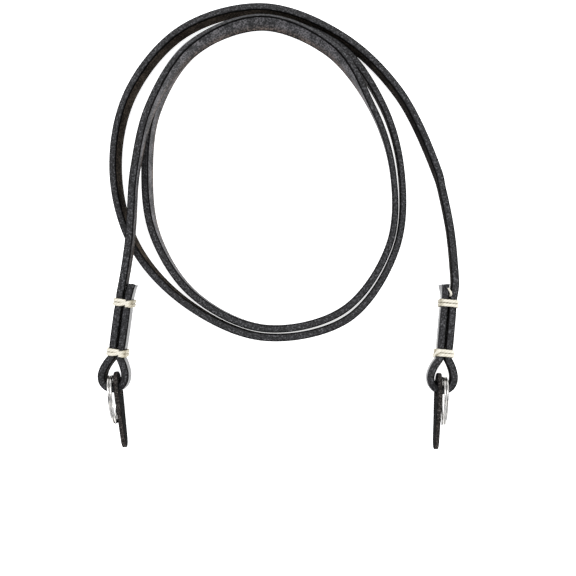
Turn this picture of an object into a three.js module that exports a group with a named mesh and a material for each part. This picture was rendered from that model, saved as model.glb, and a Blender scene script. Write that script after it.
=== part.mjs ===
// Coiled leather camera strap: a long lace of rectangular section that lies coiled on a table, two split
// rings and two leather guards threaded on its folded ends, and four bindings of waxed thread.
// Millimetres, +Z up, the table at z = 0, the strap's two ends towards -Y.
import * as THREE from 'three';

// The lace stands on its narrow edge: its thickness lies flat, its width stands up.
const LACE_THICKNESS = 2.7;
const LACE_WIDTH = 5.5;
const LACE_CHAMFER = 0.5;
const CLEARANCE = 0.3;
const STRAND_GAP = 0.32;

// The coil: its mean radius, and how long a straight step of the lace is.
const COIL_RADIUS = 54;
const COIL_STEP = 4;
const BIGHT_STEP = 1.3;

// Each end is folded back round a teardrop bight, bound twice, and cut.
const TAIL_LENGTH = 26.4;
const BIGHT_LENGTH = 11.1;
const BIGHT_SWELL = 4.28;
const BIGHT_POINT = 1.05;
const LOWER_BINDING = 1.9;
const UPPER_BINDING = 19.7;
const BINDING_LENGTH = 2.7;
const THREAD_THICKNESS = 0.68;
const SQUEEZE = 0.04;
const BINDING_TURNS = 2;

// The split rings: two turns of flat wire.
const RING_DIAMETER = 17.3;
const WIRE_DEPTH = 1.3;
const WIRE_THICKNESS = 0.65;
const TURN_GAP = 0.18;
const RING_DEPTH = 2 * WIRE_THICKNESS + TURN_GAP;
const RING_SLACK = 2.2;

// The guards: rounded leather tongues, slotted for the lace, with room in the slot along it and upright.
const GUARD_LENGTH = 27.2;
const GUARD_WIDTH = 13;
const GUARD_TIP_WIDTH = 8;
const GUARD_THICKNESS = 1.6;
const GUARD_MARGIN = 3.1;
const GUARD_BEVEL = 0.3;
const SLOT_SLACK = 2.8;
const SLOT_HEADROOM = 0.9;

// Where the lace runs in the coil, every 30 degrees, going clockwise seen from above. Each turn has its
// reach, as a share of COIL_RADIUS, and its lean in degrees, with the upper edge leaning outwards. The
// first turn crosses over the other two where its rise is 1, a lace's width up. Where a row is slim, the
// lace of its first two turns is cut that share thinner.
const coilRows = [
  { direction: 180, first: [0.834, 0], rise: 1.00, slim: 0, second: [0.778, 11], third: [0.988, 13] },
  { direction: 150, first: [0.838, 8], rise: 1.00, slim: 0, second: [0.834, 9], third: [1.030, 14] },
  { direction: 120, first: [0.918, 32], rise: 1.00, slim: 0, second: [0.937, 5], third: [1.079, 12] },
  { direction: 90, first: [0.963, 56], rise: 1.05, slim: 0, second: [0.990, 4], third: [1.083, 8] },
  { direction: 60, first: [0.904, 42], rise: 0.98, slim: 0, second: [0.972, 3], third: [1.031, 10] },
  { direction: 30, first: [0.838, 0], rise: 0.05, slim: 0.14, second: [0.907, 1], third: [1.041, 11] },
  { direction: 0, first: [0.859, -2], rise: 0.00, slim: 0.20, second: [0.914, 2], third: [1.153, 8] },
  { direction: -30, first: [0.966, 0], rise: 0.00, slim: 0.12, second: [1.009, 0], third: null },
  { direction: -60, first: [1.062, 0], rise: 0.00, slim: 0, second: [1.126, 0], third: null },
  { direction: -90, first: [1.042, 0], rise: 0.00, slim: 0, second: [1.089, 0], third: null },
  { direction: -120, first: [0.941, 2], rise: 0.00, slim: 0, second: [1.016, 4], third: null },
  { direction: -150, first: [0.837, 7], rise: 0.00, slim: 0, second: [0.991, 10], third: null },
];
const LANE_SLOPE_ALLOWANCE = 1.04;
const CROSSING_RISE = LACE_WIDTH + 2 * CLEARANCE;

// The two ends. Places are shares of COIL_RADIUS from the coil's centre, angles are in degrees: turn is
// the bound end's turn from straight down towards -X, swing is the ring's and the guard's own turn from
// there towards the strap's middle, lean is how far their tops lean that way. The cut tail splays from the
// leg by tailSplay and leans by tailLean. Rises are shares of CROSSING_RISE above the table, for the tail
// and for each point of the leg.
const ends = [
  {
    name: 'left', side: -1, apex: [-0.961, -1.231], turn: 8.2, swing: 14.9, lean: 6,
    ringOffset: 0, tailRise: 0.85, tailSplay: 0.5, tailLean: 0,
    leg: [[-0.909, -0.722, 0.91], [-0.886, -0.591, 0.97], [-0.868, -0.461, 1], [-0.858, -0.330, 1]],
  },
  {
    name: 'right', side: 1, apex: [1.190, -1.241], turn: 5.5, swing: -2.9, lean: 0,
    ringOffset: 1.0, tailRise: 0.18, tailSplay: 0.6, tailLean: -10,
    leg: [[1.270, -0.754, 0.10], [1.264, -0.620, 0.03], [1.240, -0.387, 0], [1.186, -0.120, 0]],
  },
];

const UP = new THREE.Vector3(0, 0, 1);

const leather = new THREE.MeshStandardMaterial({ color: '#2b2b2e', roughness: 0.62, metalness: 0 });
const guardLeather = new THREE.MeshStandardMaterial({ color: '#262321', roughness: 0.68, metalness: 0 });
const thread = new THREE.MeshStandardMaterial({ color: '#e6dcc0', roughness: 0.7, metalness: 0 });
const steel = new THREE.MeshStandardMaterial({ color: '#d9dadc', roughness: 0.18, metalness: 1 });

// One closed solid from a list of sections, each a list of as many points. A looped one joins its last
// section to its first, any other is capped at both ends.
function loft(sections, looped) {
  const corners = sections[0].length;
  const positions = sections.flat().flatMap((p) => [p.x, p.y, p.z]);
  const index = [];
  const joints = looped ? sections.length : sections.length - 1;
  for (let i = 0; i < joints; i += 1) {
    const here = i * corners;
    const next = ((i + 1) % sections.length) * corners;
    for (let k = 0; k < corners; k += 1) {
      const m = (k + 1) % corners;
      index.push(here + k, here + m, next + m, here + k, next + m, next + k);
    }
  }
  if (!looped) {
    const last = (sections.length - 1) * corners;
    for (let k = 1; k < corners - 1; k += 1) {
      index.push(0, k + 1, k);
      index.push(last, last + k, last + k + 1);
    }
  }
  const geometry = new THREE.BufferGeometry();
  geometry.setAttribute('position', new THREE.Float32BufferAttribute(positions, 3));
  geometry.setIndex(index);
  geometry.computeVertexNormals();
  return geometry;
}

// Half the height that the lace takes when it leans, so that it stands on the table.
function halfHeight(lean) {
  const angle = THREE.MathUtils.degToRad(Math.abs(lean));
  return (LACE_WIDTH * Math.cos(angle) + LACE_THICKNESS * Math.sin(angle)) / 2;
}

// The coil's stations, turn by turn. A later turn that lies outside an earlier one on the table keeps a
// lane's distance from it.
function coilRoute() {
  const turns = [[], [], []];
  for (const row of coilRows) {
    const first = row.first[0] * COIL_RADIUS;
    const onTable = row.rise < 0.99;
    const lane = (LACE_THICKNESS * (1 - row.slim) + CLEARANCE) * LANE_SLOPE_ALLOWANCE;
    const fullLane = (LACE_THICKNESS + CLEARANCE) * LANE_SLOPE_ALLOWANCE;
    const second = Math.max(row.second[0] * COIL_RADIUS, onTable ? first + lane : 0);
    const station = (reach, rise, lean, squeeze) => {
      const angle = THREE.MathUtils.degToRad(row.direction);
      return {
        x: reach * Math.cos(angle),
        y: reach * Math.sin(angle),
        z: rise * CROSSING_RISE + halfHeight(lean),
        lean,
        squeeze,
        step: COIL_STEP,
      };
    };
    turns[0].push(station(first, row.rise, row.first[1], row.slim));
    turns[1].push(station(second, 0, row.second[1], row.slim));
    if (row.third !== null) {
      turns[2].push(station(Math.max(row.third[0] * COIL_RADIUS, second + fullLane), 0, row.third[1], 0));
    }
  }
  return turns.flat();
}

// Where the ring holds the lace up: the lace's lower edge rests on the wire that passes under it.
function bightHeight() {
  const inner = RING_DIAMETER / 2 - WIRE_DEPTH;
  const reach = inner - RING_SLACK;
  const wireTop = RING_DIAMETER / 2 - Math.sqrt(inner * inner - reach * reach);
  return wireTop + CLEARANCE + LACE_WIDTH / 2;
}

// How far each strand of a bound end stands from the middle between the two, where the lace has lost a
// share of its thickness.
function strandOffset(squeeze) {
  return (LACE_THICKNESS * (1 - squeeze) + STRAND_GAP) / 2;
}

// The teardrop bight: t runs from 0 on the leg's side to a full turn on the tail's.
function bightPoint(t) {
  const swell = BIGHT_SWELL * Math.sin(t) * Math.sin(t / 2) ** BIGHT_POINT;
  const side = strandOffset(0) * Math.cos(t / 2) + swell;
  const along = (BIGHT_LENGTH * (1 - Math.cos(t))) / 2;
  return { side, along };
}

// A bound end's own directions: along it, away from the coil, and to its side, away from the middle.
function directionsOf(end) {
  const angle = THREE.MathUtils.degToRad(end.turn);
  const along = new THREE.Vector3(-Math.sin(angle), -Math.cos(angle), 0);
  const side = new THREE.Vector3(Math.cos(angle), -Math.sin(angle), 0).multiplyScalar(end.side);
  return { along, side };
}

function heightAt(end, along) {
  const share = (BIGHT_LENGTH - along) / (BIGHT_LENGTH + TAIL_LENGTH);
  return THREE.MathUtils.lerp(bightHeight(), LACE_WIDTH / 2 + end.tailRise * CROSSING_RISE, share);
}

function placeAt(end, side, along) {
  const directions = directionsOf(end);
  const place = new THREE.Vector3(end.apex[0] * COIL_RADIUS, end.apex[1] * COIL_RADIUS, 0);
  place.addScaledVector(directions.along, along).addScaledVector(directions.side, side);
  place.z = heightAt(end, along);
  return place;
}

// The share of its thickness that the lace loses to the thread at a place along a bound end.
function squeezeAt(along) {
  const nearest = Math.min(Math.abs(along + LOWER_BINDING), Math.abs(along + UPPER_BINDING));
  return SQUEEZE * (1 - THREE.MathUtils.smoothstep(nearest, BINDING_LENGTH / 2, BINDING_LENGTH * 1.1));
}

// One end's stations, from the coil down the leg, round the bight and back up the tail.
function endRoute(end) {
  const stations = [];
  const add = (side, along, squeeze, step, lean = 0) => {
    const { x, y, z } = placeAt(end, side, along);
    stations.push({ x, y, z, lean, squeeze, step });
  };
  for (const [x, y, rise] of [...end.leg].reverse()) {
    const z = LACE_WIDTH / 2 + rise * CROSSING_RISE;
    stations.push({ x: x * COIL_RADIUS, y: y * COIL_RADIUS, z, lean: 0, squeeze: 0, step: COIL_STEP });
  }
  const strandStops = [UPPER_BINDING + BINDING_LENGTH, UPPER_BINDING + BINDING_LENGTH / 2,
    UPPER_BINDING - BINDING_LENGTH / 2, UPPER_BINDING - BINDING_LENGTH,
    LOWER_BINDING + BINDING_LENGTH, LOWER_BINDING + BINDING_LENGTH / 2];
  for (const stop of strandStops) {
    const squeeze = squeezeAt(-stop);
    add(strandOffset(squeeze), -stop, squeeze, COIL_STEP);
  }
  const bightStops = 16;
  for (let i = 0; i <= bightStops; i += 1) {
    const { side, along } = bightPoint((2 * Math.PI * i) / bightStops);
    const squeeze = squeezeAt(along);
    add(side - Math.sign(side) * (strandOffset(0) - strandOffset(squeeze)), along, squeeze, BIGHT_STEP);
  }
  for (const stop of [...strandStops].reverse()) {
    const squeeze = squeezeAt(-stop);
    add(-strandOffset(squeeze), -stop, squeeze, COIL_STEP);
  }
  add(-strandOffset(0) - end.tailSplay, -TAIL_LENGTH, 0, COIL_STEP, end.tailLean);
  return stations;
}

// The lace's section at a point of its route: a rectangle with chamfered corners, thickness along the
// level normal, width along the upright, turned by its lean.
function laceSection(centre, tangent, lean, squeeze) {
  const level = new THREE.Vector3().crossVectors(UP, tangent).normalize();
  const upright = new THREE.Vector3().crossVectors(tangent, level).normalize();
  const angle = THREE.MathUtils.degToRad(lean);
  const across = level.clone().multiplyScalar(Math.cos(angle)).addScaledVector(upright, -Math.sin(angle));
  const tall = upright.clone().multiplyScalar(Math.cos(angle)).addScaledVector(level, Math.sin(angle));
  const t = (LACE_THICKNESS * (1 - squeeze)) / 2;
  const w = LACE_WIDTH / 2;
  const c = LACE_CHAMFER;
  const outline = [[t, -w + c], [t, w - c], [t - c, w], [-t + c, w], [-t, w - c], [-t, -w + c],
    [-t + c, -w], [t - c, -w]];
  return outline.map(([a, b]) => centre.clone().addScaledVector(across, a).addScaledVector(tall, b));
}

// A value eased between two stations without passing either, from the stations before and after them.
function eased(values, i, share) {
  const slopeAt = (k) => {
    if (k === 0 || k === values.length - 1) {
      return 0;
    }
    const into = values[k] - values[k - 1];
    const out = values[k + 1] - values[k];
    return into * out > 0 ? (2 * into * out) / (into + out) : 0;
  };
  const rise = values[i + 1] - values[i];
  const start = slopeAt(i);
  const finish = slopeAt(i + 1);
  const square = 3 * rise - 2 * start - finish;
  const cube = start + finish - 2 * rise;
  return values[i] + share * (start + share * (square + share * cube));
}

// The lace: a smooth curve through its stations, with the heights and leans eased between them.
function laceGeometry() {
  const [left, right] = ends;
  const stations = [...endRoute(left).reverse(), ...coilRoute(), ...endRoute(right)];
  const plan = new THREE.CatmullRomCurve3(
    stations.map(({ x, y }) => new THREE.Vector3(x, y, 0)), false, 'centripetal');
  const heights = stations.map(({ z }) => z);
  const leans = stations.map(({ lean }) => lean);
  const squeezes = stations.map(({ squeeze }) => squeeze);
  const centres = [];
  for (let i = 0; i < stations.length - 1; i += 1) {
    const here = stations[i];
    const next = stations[i + 1];
    const distance = Math.hypot(next.x - here.x, next.y - here.y);
    const pieces = Math.max(1, Math.round(distance / Math.min(here.step, next.step)));
    for (let k = 0; k < pieces; k += 1) {
      const share = k / pieces;
      const point = plan.getPoint((i + share) / (stations.length - 1));
      point.z = eased(heights, i, share);
      centres.push({ point, lean: eased(leans, i, share), squeeze: eased(squeezes, i, share) });
    }
  }
  const last = stations[stations.length - 1];
  centres.push({ point: new THREE.Vector3(last.x, last.y, last.z), lean: last.lean, squeeze: 0 });
  const sections = centres.map(({ point, lean, squeeze }, i) => {
    const before = centres[Math.max(i - 1, 0)].point;
    const after = centres[Math.min(i + 1, centres.length - 1)].point;
    return laceSection(point, after.clone().sub(before).normalize(), lean, squeeze);
  });
  return loft(sections, false);
}

// A binding: turns of thread side by side round both strands, as one band with a ridge for each turn.
// Its own frame has X across the strands, Y up and Z along them.
function bindingGeometry() {
  const wide = 2 * strandOffset(SQUEEZE) + LACE_THICKNESS * (1 - SQUEEZE);
  const corner = LACE_CHAMFER + CLEARANCE;
  const pitch = BINDING_LENGTH / BINDING_TURNS;
  const valley = 0.65;
  const profile = [[0, BINDING_LENGTH / 2], [0, -BINDING_LENGTH / 2]];
  for (let i = 0; i < BINDING_TURNS; i += 1) {
    const start = -BINDING_LENGTH / 2 + i * pitch;
    profile.push([THREAD_THICKNESS * valley, start]);
    profile.push([THREAD_THICKNESS, start + pitch / 2]);
  }
  profile.push([THREAD_THICKNESS * valley, BINDING_LENGTH / 2]);
  const sections = [];
  const cornerSteps = 3;
  for (let q = 0; q < 4; q += 1) {
    const signX = q === 0 || q === 3 ? 1 : -1;
    const signY = q < 2 ? 1 : -1;
    const cx = signX * (wide / 2 + CLEARANCE - corner);
    const cy = signY * (LACE_WIDTH / 2 + CLEARANCE - corner);
    for (let k = 0; k <= cornerSteps; k += 1) {
      const angle = ((q + k / cornerSteps) * Math.PI) / 2;
      sections.push(profile.map(([out, along]) => new THREE.Vector3(
        cx + (corner + out) * Math.cos(angle), cy + (corner + out) * Math.sin(angle), along)));
    }
  }
  return loft(sections.reverse(), true);
}

// A split ring about its own Z axis: flat wire that runs nearly two turns, stepping from one layer to
// the other where its ends meet.
function ringGeometry() {
  const radius = (RING_DIAMETER - WIRE_DEPTH) / 2;
  const layer = (WIRE_THICKNESS + TURN_GAP) / 2;
  const stepHalf = 20;
  const endGap = 3;
  const first = stepHalf + endGap;
  const last = 720 - stepHalf - endGap;
  const facets = 52;
  const flat = 0.3;
  const outline = [[0.5, -flat], [0.5, flat], [0, 0.5], [-0.5, flat], [-0.5, -flat], [0, -0.5]];
  const sections = [];
  for (let i = 0; i <= facets; i += 1) {
    const degrees = first + ((last - first) * i) / facets;
    const angle = THREE.MathUtils.degToRad(degrees);
    const level = layer * (2 * THREE.MathUtils.smoothstep(degrees, 360 - stepHalf, 360 + stepHalf) - 1);
    sections.push(outline.map(([deep, thick]) => {
      const reach = radius + deep * WIRE_DEPTH;
      return new THREE.Vector3(
        reach * Math.cos(angle), reach * Math.sin(angle), level + thick * WIRE_THICKNESS);
    }));
  }
  return loft(sections.reverse(), false);
}

// A guard in its own frame: X along it from the round head down to the tip, with X = 0 at the slot's
// middle, Y up from the table, Z its thickness.
function guardGeometry(slotHeight) {
  const headRadius = GUARD_WIDTH / 2 - GUARD_BEVEL;
  const tipRadius = GUARD_TIP_WIDTH / 2 - GUARD_BEVEL;
  const slotLong = LACE_THICKNESS + SLOT_SLACK;
  const slotTall = LACE_WIDTH + SLOT_HEADROOM + 2 * GUARD_BEVEL;
  const headX = -slotLong / 2 - GUARD_MARGIN + GUARD_WIDTH / 2;
  const tipX = headX - GUARD_WIDTH / 2 + GUARD_LENGTH - GUARD_TIP_WIDTH / 2;
  const middle = GUARD_WIDTH / 2;
  const taper = Math.asin((headRadius - tipRadius) / (tipX - headX));
  const side = Math.PI / 2 - taper;
  const shape = new THREE.Shape();
  shape.absarc(headX, middle, headRadius, side, 2 * Math.PI - side, false);
  shape.absarc(tipX, middle, tipRadius, -side, side, false);
  shape.closePath();
  const halfLong = slotLong / 2 + GUARD_BEVEL;
  const halfTall = slotTall / 2;
  const slot = new THREE.Path();
  slot.moveTo(-halfLong, slotHeight - halfTall);
  slot.lineTo(halfLong, slotHeight - halfTall);
  slot.lineTo(halfLong, slotHeight + halfTall);
  slot.lineTo(-halfLong, slotHeight + halfTall);
  slot.closePath();
  shape.holes.push(slot);
  const geometry = new THREE.ExtrudeGeometry(shape, {
    depth: GUARD_THICKNESS - 2 * GUARD_BEVEL,
    bevelEnabled: true,
    bevelThickness: GUARD_BEVEL,
    bevelSize: GUARD_BEVEL,
    bevelSegments: 1,
    curveSegments: 14,
  });
  geometry.translate(0, 0, GUARD_BEVEL - GUARD_THICKNESS / 2);
  return geometry;
}

// The line that a ring or a guard lies on, in an end's own plane: where it crosses the bight's lace.
function crossingOf(offset, swing) {
  const slope = Math.tan(THREE.MathUtils.degToRad(swing));
  let best = bightPoint(Math.PI);
  let nearest = Infinity;
  const trials = 400;
  for (let i = 0; i <= trials; i += 1) {
    const place = bightPoint(Math.PI * (0.5 + i / trials));
    const miss = Math.abs(place.side - offset + slope * (place.along - BIGHT_LENGTH));
    if (miss < nearest) {
      nearest = miss;
      best = place;
    }
  }
  return best;
}

// The directions of an end's ring and guard: X level along them, Y up and leaning, Z through them.
function standingFrame(end) {
  const { along, side } = directionsOf(end);
  const swing = THREE.MathUtils.degToRad(end.swing);
  const lean = THREE.MathUtils.degToRad(end.lean);
  const x = along.clone().multiplyScalar(Math.cos(swing)).addScaledVector(side, -Math.sin(swing));
  const inward = side.clone().multiplyScalar(-Math.cos(swing)).addScaledVector(along, -Math.sin(swing));
  const y = UP.clone().multiplyScalar(Math.cos(lean)).addScaledVector(inward, Math.sin(lean));
  const z = new THREE.Vector3().crossVectors(x, y);
  return { x, y, z };
}

// How high above its lower edge a leaning piece of this thickness has the lace.
function heightOnTable(end, lace, thickness) {
  const lean = THREE.MathUtils.degToRad(end.lean);
  return (lace.z - (thickness / 2) * Math.sin(lean)) / Math.cos(lean);
}

// Stands a piece on the table: its own point (acrossX, height) is where the lace passes through it, and
// height comes from heightOnTable.
function standOnTable(mesh, end, lace, acrossX, height) {
  const { x, y, z } = standingFrame(end);
  mesh.quaternion.setFromRotationMatrix(new THREE.Matrix4().makeBasis(x, y, z));
  mesh.position.copy(lace).addScaledVector(x, -acrossX).addScaledVector(y, -height);
}

function makeBinding(end, name, along) {
  const mesh = new THREE.Mesh(bindingGeometry(), thread);
  mesh.name = `binding_${end.name}_${name}`;
  const place = placeAt(end, 0, -along);
  const z = placeAt(end, 0, 1 - along).sub(place).normalize();
  const x = directionsOf(end).side;
  const y = new THREE.Vector3().crossVectors(z, x);
  mesh.quaternion.setFromRotationMatrix(new THREE.Matrix4().makeBasis(x, y, z));
  mesh.position.copy(place);
  return mesh;
}

function makeRing(end) {
  const crossing = crossingOf(end.ringOffset, end.swing);
  const mesh = new THREE.Mesh(ringGeometry(), steel);
  mesh.name = `ring_${end.name}`;
  const toCentre = RING_DIAMETER / 2 - WIRE_DEPTH - RING_SLACK - LACE_THICKNESS / 2;
  const lace = placeAt(end, crossing.side, crossing.along);
  const height = heightOnTable(end, lace, RING_DEPTH) - RING_DIAMETER / 2;
  standOnTable(mesh, end, lace, -toCentre, height);
  return mesh;
}

function makeGuard(end) {
  const between = (RING_DEPTH + GUARD_THICKNESS) / 2 + CLEARANCE;
  const swing = THREE.MathUtils.degToRad(end.swing);
  const lean = THREE.MathUtils.degToRad(end.lean);
  const offset = end.ringOffset - between / (Math.cos(swing) * Math.cos(lean));
  const crossing = crossingOf(offset, end.swing);
  const lace = placeAt(end, crossing.side, crossing.along);
  const height = heightOnTable(end, lace, GUARD_THICKNESS);
  const mesh = new THREE.Mesh(guardGeometry(height), guardLeather);
  mesh.name = `guard_${end.name}`;
  standOnTable(mesh, end, lace, 0, height);
  return mesh;
}

const strap = new THREE.Group();
const lace = new THREE.Mesh(laceGeometry(), leather);
lace.name = 'strap';
strap.add(lace);
for (const end of ends) {
  strap.add(makeBinding(end, 'upper', UPPER_BINDING));
  strap.add(makeBinding(end, 'lower', LOWER_BINDING));
  strap.add(makeRing(end));
  strap.add(makeGuard(end));
}

// The part's own origin: on the table, under the middle of its bounding box.
const bounds = new THREE.Box3().setFromObject(strap);
const middle = bounds.getCenter(new THREE.Vector3());
strap.position.set(-middle.x, -middle.y, 0);

export default strap;
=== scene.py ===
# %% [markdown]
# # A coiled leather camera strap
# The strap is one long lace of black leather that stands on its narrow edge and lies in a loose coil.
# Each end is folded back round a small bight, bound twice with cream waxed thread, and carries a split ring
# and a leather guard. Everything here is in metres, in the frame of the solid model, with +Z up.

# %% Load the solid model
import math

import bpy
from mathutils import Matrix, Vector, noise


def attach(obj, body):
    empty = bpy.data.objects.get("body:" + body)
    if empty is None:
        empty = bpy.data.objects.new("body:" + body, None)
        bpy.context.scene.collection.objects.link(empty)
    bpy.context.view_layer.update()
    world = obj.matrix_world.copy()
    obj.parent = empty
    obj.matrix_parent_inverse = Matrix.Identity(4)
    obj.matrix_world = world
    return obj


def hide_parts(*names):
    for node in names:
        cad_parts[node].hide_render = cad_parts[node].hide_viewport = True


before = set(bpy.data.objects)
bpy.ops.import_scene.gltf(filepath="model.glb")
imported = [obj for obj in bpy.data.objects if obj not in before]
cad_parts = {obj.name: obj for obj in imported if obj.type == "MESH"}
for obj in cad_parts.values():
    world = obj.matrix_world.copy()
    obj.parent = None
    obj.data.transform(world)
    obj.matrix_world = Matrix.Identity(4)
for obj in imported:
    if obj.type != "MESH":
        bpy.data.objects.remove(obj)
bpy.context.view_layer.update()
MM = 0.001

# %% [markdown]
# ## The camera
# The photograph looks straight down on the table. The strap was not under the middle of the lens, so rings
# and guards, which stand up, lean a little outwards in the picture. A camera that hangs over the same point
# of the table, with its picture shifted sideways, gives the same lean.

# %% Camera
PICTURE = 576
FOCAL_PIXELS = 922.6
CAMERA_HEIGHT = 0.335
LOOK_DOWN_ON = (0.019758, -0.026524)
LENS_AXIS_PIXEL = (335, 300)
camera_data = bpy.data.cameras.new("camera")
camera_data.sensor_width = 36
camera_data.lens = FOCAL_PIXELS / PICTURE * camera_data.sensor_width
camera_data.shift_x = (PICTURE / 2 - LENS_AXIS_PIXEL[0]) / PICTURE
camera_data.shift_y = (LENS_AXIS_PIXEL[1] - PICTURE / 2) / PICTURE
camera = bpy.data.objects.new("camera", camera_data)
camera.location = (*LOOK_DOWN_ON, CAMERA_HEIGHT)
bpy.context.scene.collection.objects.link(camera)
bpy.context.scene.camera = camera
print("lens", round(camera_data.lens, 2), "mm, looking straight down from", CAMERA_HEIGHT, "m")

# %% [markdown]
# ## The sizes
# The lace, the bindings, the rings and the guards use the solid model's own sizes, so each finer piece
# lies where its solid lies.

# %% Sizes of the pieces
LACE_THICKNESS = 2.7 * MM
LACE_WIDTH = 5.5 * MM
CLEARANCE = 0.3 * MM
STRAND_GAP = 0.32 * MM
COIL_RADIUS = 54 * MM
COIL_CENTRE = Vector((-5.812 * MM, 19.566 * MM, 0))
LANE_SLOPE_ALLOWANCE = 1.04
CROSSING_RISE = LACE_WIDTH + 2 * CLEARANCE
TAIL_LENGTH = 26.4 * MM
BIGHT_LENGTH = 11.1 * MM
BIGHT_SWELL = 4.28 * MM
BIGHT_POINT = 1.05
LOWER_BINDING = 1.9 * MM
UPPER_BINDING = 19.7 * MM
BINDING_LENGTH = 2.7 * MM
BINDING_TURNS = 2
THREAD_THICKNESS = 0.68 * MM
SQUEEZE = 0.04
RING_DIAMETER = 17.3 * MM
WIRE_DEPTH = 1.3 * MM
WIRE_THICKNESS = 0.65 * MM
TURN_GAP = 0.18 * MM
RING_DEPTH = 2 * WIRE_THICKNESS + TURN_GAP
RING_SLACK = 2.2 * MM
GUARD_LENGTH = 27.2 * MM
GUARD_WIDTH = 13 * MM
GUARD_TIP_WIDTH = 8 * MM
GUARD_THICKNESS = 1.6 * MM
GUARD_MARGIN = 3.1 * MM
SLOT_SLACK = 2.8 * MM
SLOT_HEADROOM = 0.9 * MM
UP = Vector((0, 0, 1))
print("lace", LACE_THICKNESS / MM, "by", LACE_WIDTH / MM, "mm; ring", RING_DIAMETER / MM, "mm")

# %% [markdown]
# ## The way the lace lies
# A rope or lace is easiest to shape along a line. The line is a short list of places on the coil: for every
# thirty degrees, how far each turn reaches from the middle, as a share of the coil's radius, and how far its
# upper edge leans outwards, in degrees. Where the rise is 1, the first turn passes over the others, one
# lace's width up. Where a row is slim, the lace is that share thinner.

# %% The coil's places
COIL_ROWS = [
    # direction, first reach, lean, rise, slim, second reach, lean, third reach, lean
    (180, 0.834, 0, 1.00, 0, 0.778, 11, 0.988, 13),
    (150, 0.838, 8, 1.00, 0, 0.834, 9, 1.030, 14),
    (120, 0.918, 32, 1.00, 0, 0.937, 5, 1.079, 12),
    (90, 0.963, 56, 1.05, 0, 0.990, 4, 1.083, 8),
    (60, 0.904, 42, 0.98, 0, 0.972, 3, 1.031, 10),
    (30, 0.838, 0, 0.05, 0.14, 0.907, 1, 1.041, 11),
    (0, 0.859, -2, 0.00, 0.20, 0.914, 2, 1.153, 8),
    (-30, 0.966, 0, 0.00, 0.12, 1.009, 0, None, 0),
    (-60, 1.062, 0, 0.00, 0, 1.126, 0, None, 0),
    (-90, 1.042, 0, 0.00, 0, 1.089, 0, None, 0),
    (-120, 0.941, 2, 0.00, 0, 1.016, 4, None, 0),
    (-150, 0.837, 7, 0.00, 0, 0.991, 10, None, 0),
]
ENDS = [
    {
        "name": "left", "side": -1, "apex": (-0.961, -1.231), "turn": 8.2, "swing": 14.9, "lean": 6,
        "ring_offset": 0, "tail_rise": 0.85, "tail_splay": 0.5 * MM, "tail_lean": 0,
        "leg": [(-0.909, -0.722, 0.91), (-0.886, -0.591, 0.97), (-0.868, -0.461, 1), (-0.858, -0.330, 1)],
    },
    {
        "name": "right", "side": 1, "apex": (1.190, -1.241), "turn": 5.5, "swing": -2.9, "lean": 0,
        "ring_offset": 1.0 * MM, "tail_rise": 0.18, "tail_splay": 0.6 * MM, "tail_lean": -10,
        "leg": [(1.270, -0.754, 0.10), (1.264, -0.620, 0.03), (1.240, -0.387, 0), (1.186, -0.120, 0)],
    },
]
print(len(COIL_ROWS), "directions and", len(ENDS), "ends")


# %% The coil's stations
ON_TOP = 0.99


def half_height(lean):
    angle = math.radians(abs(lean))
    return (LACE_WIDTH * math.cos(angle) + LACE_THICKNESS * math.sin(angle)) / 2


def station(x, y, z, lean=0.0, squeeze=0.0):
    return {"x": x, "y": y, "z": z, "lean": lean, "squeeze": squeeze}


def coil_stations():
    """Where the lace runs in the coil, turn by turn. On the table, each turn keeps a lane from the last."""
    turns = ([], [], [])
    for direction, first, first_lean, rise, slim, second, second_lean, third, third_lean in COIL_ROWS:
        angle = math.radians(direction)
        lane = (LACE_THICKNESS * (1 - slim) + CLEARANCE) * LANE_SLOPE_ALLOWANCE
        reaches = [first * COIL_RADIUS]
        inside = reaches[0] + lane if rise < ON_TOP else 0
        reaches.append(max(second * COIL_RADIUS, inside))
        if third is not None:
            full_lane = (LACE_THICKNESS + CLEARANCE) * LANE_SLOPE_ALLOWANCE
            reaches.append(max(third * COIL_RADIUS, reaches[1] + full_lane))
        leans = (first_lean, second_lean, third_lean)
        for turn, reach in enumerate(reaches):
            height = half_height(leans[turn]) + (rise * CROSSING_RISE if turn == 0 else 0)
            turns[turn].append(station(reach * math.cos(angle), reach * math.sin(angle), height,
                                       leans[turn], slim if turn < 2 else 0))
    return turns[0] + turns[1] + turns[2]


print(len(coil_stations()), "stations round the coil")


# %% [markdown]
# ## The folded ends
# At each end the leg comes down, turns round a teardrop bight and goes back up as the cut tail. The bight
# is drawn as a closed formula, so its two strands always start and end side by side. The thread squeezes
# the leather a little where it is bound.

# %% The folded ends' stations
PINCH_FADE = 0.6 * BINDING_LENGTH


def smooth_step(share):
    """Goes from 0 to 1 and starts and ends gently, as the share does so evenly."""
    share = min(1, max(0, share))
    return share * share * (3 - 2 * share)


def bight_height():
    inner = RING_DIAMETER / 2 - WIRE_DEPTH
    reach = inner - RING_SLACK
    wire_top = RING_DIAMETER / 2 - math.sqrt(inner * inner - reach * reach)
    return wire_top + CLEARANCE + LACE_WIDTH / 2


def strand_offset(squeeze):
    return (LACE_THICKNESS * (1 - squeeze) + STRAND_GAP) / 2


def bight_point(t):
    """The teardrop: t runs from 0 on the leg's side to a full turn on the tail's."""
    swell = BIGHT_SWELL * math.sin(t) * math.sin(t / 2) ** BIGHT_POINT if 0 < t < 2 * math.pi else 0
    return strand_offset(0) * math.cos(t / 2) + swell, BIGHT_LENGTH * (1 - math.cos(t)) / 2


def directions_of(end):
    angle = math.radians(end["turn"])
    along = Vector((-math.sin(angle), -math.cos(angle), 0))
    side = Vector((math.cos(angle), -math.sin(angle), 0)) * end["side"]
    return along, side


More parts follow.
